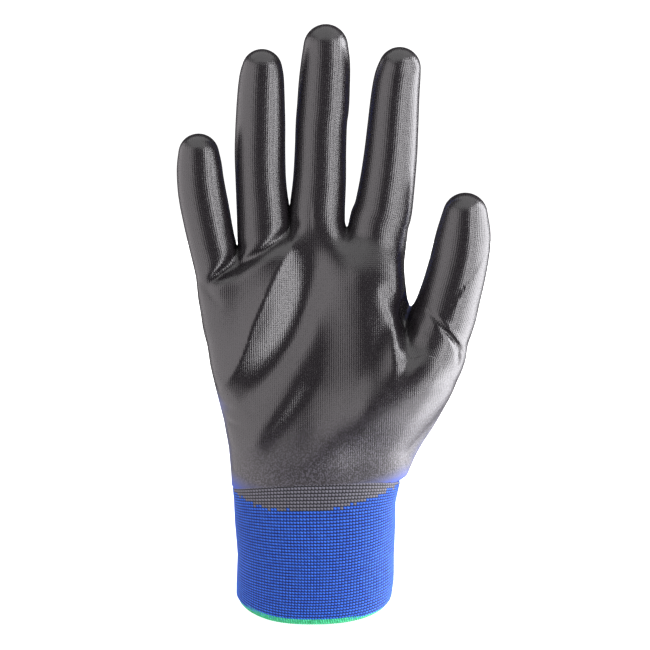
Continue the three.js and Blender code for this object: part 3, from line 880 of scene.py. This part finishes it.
# The inside of the cuff, up to where the palm's knit starts.
CUFF_WALL = 1.5
INSIDE_SIDES = 184
INSIDE_ROUND = 200 * WALE  # the way round the inside, in whole columns of the fine knit
IA, IV = np.meshgrid(even_angles(INSIDE_SIDES), np.linspace(0.02, 1.0, 44))
IZ = IV * rib_top(np.cos(IA), np.sin(IA)) + hem_lift(IA) * (1 - smooth(IV * RIB_TOP, 0, 16))
inside_inset = CUFF_WALL + 0.08 * np.sin(IV * 2 * math.pi * 21) + 0.5 * smooth(IV, 0.94, 1.0)
IX, IY = round_section(IA, IZ, inside_inset)
inner_faces = ring_grid(*IA.shape, flip=True)
inner_run = np.broadcast_to(np.arange(INSIDE_SIDES) / INSIDE_SIDES * INSIDE_ROUND, IA.shape).reshape(-1)
inner_uv = np.stack([unwrap(inner_run, inner_faces, INSIDE_ROUND), IZ.reshape(-1)[inner_faces]], -1)
inner = make_object("cuff_inside", np.stack([IX, IY, IZ], -1).reshape(-1, 3), inner_faces, inner_uv)
on_wrist(dress(inner, KNIT))

# Overlock stitches over the cuff's edge: thread wraps side by side, each a slanted bead.
WRAPS, STEPS_TO_WRAP = 176, 6
HEM_AT = 1.0  # height of the outline that the hem follows
HEM_INSET, HEM_RISE = 0.95, 1.7  # the middle of the hem, inside that outline and above the ground
HEM_REACH, HEM_TALL = 1.12, 1.42  # half the hem's thickness and half its height
around_hem = even_angles(WRAPS * STEPS_TO_WRAP, HEM_AT)
hx, hy = round_section(around_hem, np.full(around_hem.shape, HEM_AT), HEM_INSET)
outer_x, outer_y = round_section(around_hem, np.full(around_hem.shape, HEM_AT), 0.0)
out = np.stack([outer_x - hx, outer_y - hy, np.zeros_like(hx)], -1)
out /= np.linalg.norm(out, axis=1, keepdims=True)
hem_line = np.stack([hx, hy, HEM_RISE + hem_lift(around_hem)], -1)
wrap = np.arange(len(hx)) / STEPS_TO_WRAP
profile = np.linspace(0, 2 * math.pi, 17)[:-1]
hem_rows, hem_u = [], []
for turn in profile:
    slanted = wrap + 0.35 * np.sin(turn)
    bead = np.abs(np.sin(math.pi * slanted))
    reach = HEM_REACH + 0.22 * bead
    tall = HEM_TALL + 0.2 * bead + 0.8 * np.clip(-np.cos(around_hem), 0, 1) ** 2
    row = hem_line + out * (np.cos(turn) * reach)[:, None]
    row[:, 2] += np.sin(turn) * tall
    hem_rows.append(row)
    hem_u.append(slanted)
hem_points = np.stack(hem_rows, 1).reshape(-1, 3)
hem_faces = ring_grid(len(hx) + 1, len(profile), flip=True) % len(hem_points)
hem_run = unwrap(np.stack(hem_u, 1).reshape(-1), hem_faces, WRAPS)
hem = make_object("hem_overlock", hem_points, hem_faces, np.stack([hem_run, 0 * hem_run], -1))
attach(dress(hem, HEM), "cuff")
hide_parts("cuff_hem")

# The elastic yarn laid into the courses, seen on the inside: a helix that ripples with the stitches.
YARN_TURNS, YARN_LOW, YARN_CLIMB = 6, 8, 38
YARN_RADIUS, YARN_SIDES, YARN_INSET = 0.36, 6, 1.95
RIPPLES = 46  # to a turn
share = np.linspace(0, 1, YARN_TURNS * 180)
yarn_angle = 2 * math.pi * YARN_TURNS * share
yarn_z = YARN_LOW + YARN_CLIMB * share + 0.25 * np.sin(yarn_angle * RIPPLES / 2)
yx, yy = round_section(yarn_angle, yarn_z, YARN_INSET + 0.12 * np.sin(yarn_angle * RIPPLES))
inward = np.stack([-yx, -yy, np.zeros_like(yx)], -1)
inward /= np.linalg.norm(inward, axis=1, keepdims=True)
turns = np.arange(YARN_SIDES) / YARN_SIDES * 2 * math.pi
ring = np.cos(turns)[:, None] * inward[:, None] + np.sin(turns)[:, None] * np.array([0.0, 0.0, 1.0])
yarn_points = np.stack([yx, yy, yarn_z], -1)[:, None] + ring * YARN_RADIUS
yarn = make_object("cuff_elastic", yarn_points.reshape(-1, 3), ring_grid(len(share), YARN_SIDES))
on_wrist(dress(yarn, ELASTIC))
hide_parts("cuff_elastic_yarn")


# ---- stage, light and camera -------------------------------------------------------------

def studio_floor():
    """A pale floor that curves up into a wall all round, well away from the glove."""
    flat, bend, wall = 3.0, 1.0, 6.0  # radius of the flat floor, radius of the curve, height of the wall
    profile = [(0.0, 0.0), (flat / 2, 0.0), (flat, 0.0)]
    profile += [(flat + bend * math.sin(a), bend - bend * math.cos(a))
                for a in np.radians(np.arange(7.5, 91, 7.5))]
    profile += [(flat + bend, wall / 2), (flat + bend, wall)]
    turns = np.linspace(0, 2 * math.pi, 97)[:-1]
    rows = [[(r * math.cos(a), r * math.sin(a), z - 0.0004) for a in turns] for r, z in profile]
    faces = ring_grid(len(rows), len(turns), flip=True)
    made = make_object("studio_floor", np.array(rows).reshape(-1, 3) / MM, faces)
    n = Nodes("studio_floor")
    n.set(Base_Color=(0.9, 0.9, 0.9, 1), Roughness=0.9, Emission_Color=(1, 1, 1, 1), Emission_Strength=1.0)
    made.data.materials.append(n.material)
    made.visible_diffuse = made.visible_glossy = made.visible_shadow = False


def softbox(name, azimuth, distance, width, low_z, high_z, radiance, tint=(1, 1, 1)):
    """An upright soft light facing the glove. Azimuth 0 is the palm's side, 90 the thumb's."""
    a = math.radians(azimuth)
    light = bpy.data.lights.new(name, "AREA")
    light.shape = "RECTANGLE"
    light.size, light.size_y = width, high_z - low_z
    light.energy = radiance * math.pi * light.size * light.size_y
    light.color = tint
    made = add_object(name, light)
    made.location = (distance * math.sin(a), -distance * math.cos(a), (low_z + high_z) / 2)
    made.rotation_euler = (math.radians(90), 0, a)
    made.visible_camera = False
    return made


studio_floor()
# The film's streaks of light are these boxes' reflections, so their edges were placed by the photo's.
softbox("softbox_key", 49, 1.2, 0.42, -1.9, 0.95, 5.4, (0.99, 0.97, 1.0))
softbox("softbox_side", 85, 1.2, 0.44, -1.9, 0.95, 7.4, (0.98, 0.97, 1.0))
softbox("softbox_thumb_side", 108, 1.2, 0.54, -1.9, 0.95, 7.4, (0.97, 0.96, 1.0))
softbox("softbox_left", -80, 1.1, 2.9, -1.3, 0.95, 1.45, (1.0, 0.945, 0.975))
top = softbox("softbox_top", 0, 0.6, 2.8, 0.4, 3.0, 1.0)
top.location[2], top.rotation_euler[0] = 1.5, 0  # flat over the fingertips, facing down
back_fill = softbox("back_fill", 180, 1.4, 2.0, -0.5, 1.0, 2.2)
back_fill.visible_glossy = False

world = bpy.data.worlds.new("studio")
world.use_nodes = True
world.node_tree.nodes["Background"].inputs["Color"].default_value = (1, 1, 1, 1)
world.node_tree.nodes["Background"].inputs["Strength"].default_value = 0.08
bpy.context.scene.world = world
bpy.context.scene.view_settings.view_transform = "Standard"

ELEVATION, DISTANCE = math.radians(10), 0.595
AIM = np.array([0.0043, 0.0, 0.125])
camera = add_object("camera", bpy.data.cameras.new("camera"))
camera.data.lens = 77.49
camera.data.sensor_width = 36
camera.data.clip_start = 0.01
camera.location = AIM + DISTANCE * np.array([0, -math.cos(ELEVATION), math.sin(ELEVATION)])
camera.rotation_euler = (math.radians(90) - ELEVATION, 0, 0)
bpy.context.scene.camera = camera
